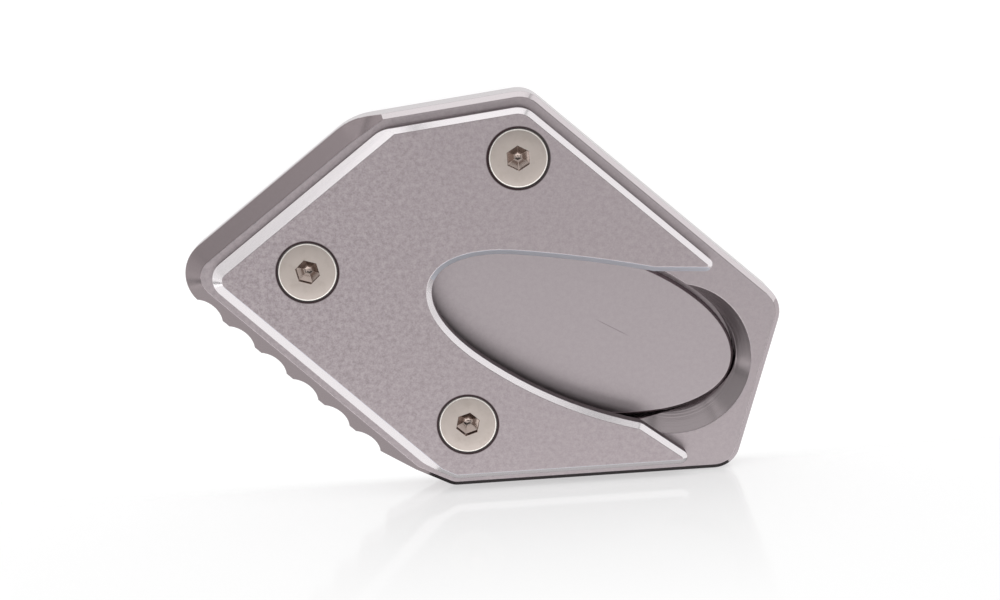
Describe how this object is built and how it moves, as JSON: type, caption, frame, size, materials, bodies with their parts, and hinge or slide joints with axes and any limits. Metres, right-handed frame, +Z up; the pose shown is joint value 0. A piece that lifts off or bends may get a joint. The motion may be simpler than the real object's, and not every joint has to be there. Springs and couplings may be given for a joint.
{
  "type": "kickstand foot enlarger",
  "caption": "Flat metal foot for a motorcycle side stand: a bevelled base plate with a pocket, a forked clamp plate screwed on top, and a spacer that the stand's foot rests on.",
  "frame": {"origin": "on the ground face, under the middle of the plan's bounding box", "axes": "+X along the straight bottom edge, towards the open end of the fork; +Z up, from the ground face to the clamp plate"},
  "size_m": [0.119, 0.0799, 0.014],
  "materials": {
    "base_metal": "satin grey anodised",
    "clamp_metal": "satin grey anodised",
    "spacer_metal": "satin grey anodised",
    "screw_steel": "satin stainless"
  },
  "bodies": {
    "root": {"base_plate": "base_metal", "clamp_plate": "clamp_metal", "height_spacer": "spacer_metal", "screw_left": "screw_steel", "screw_top": "screw_steel", "screw_lower": "screw_steel"}
  },
  "joints": []
}
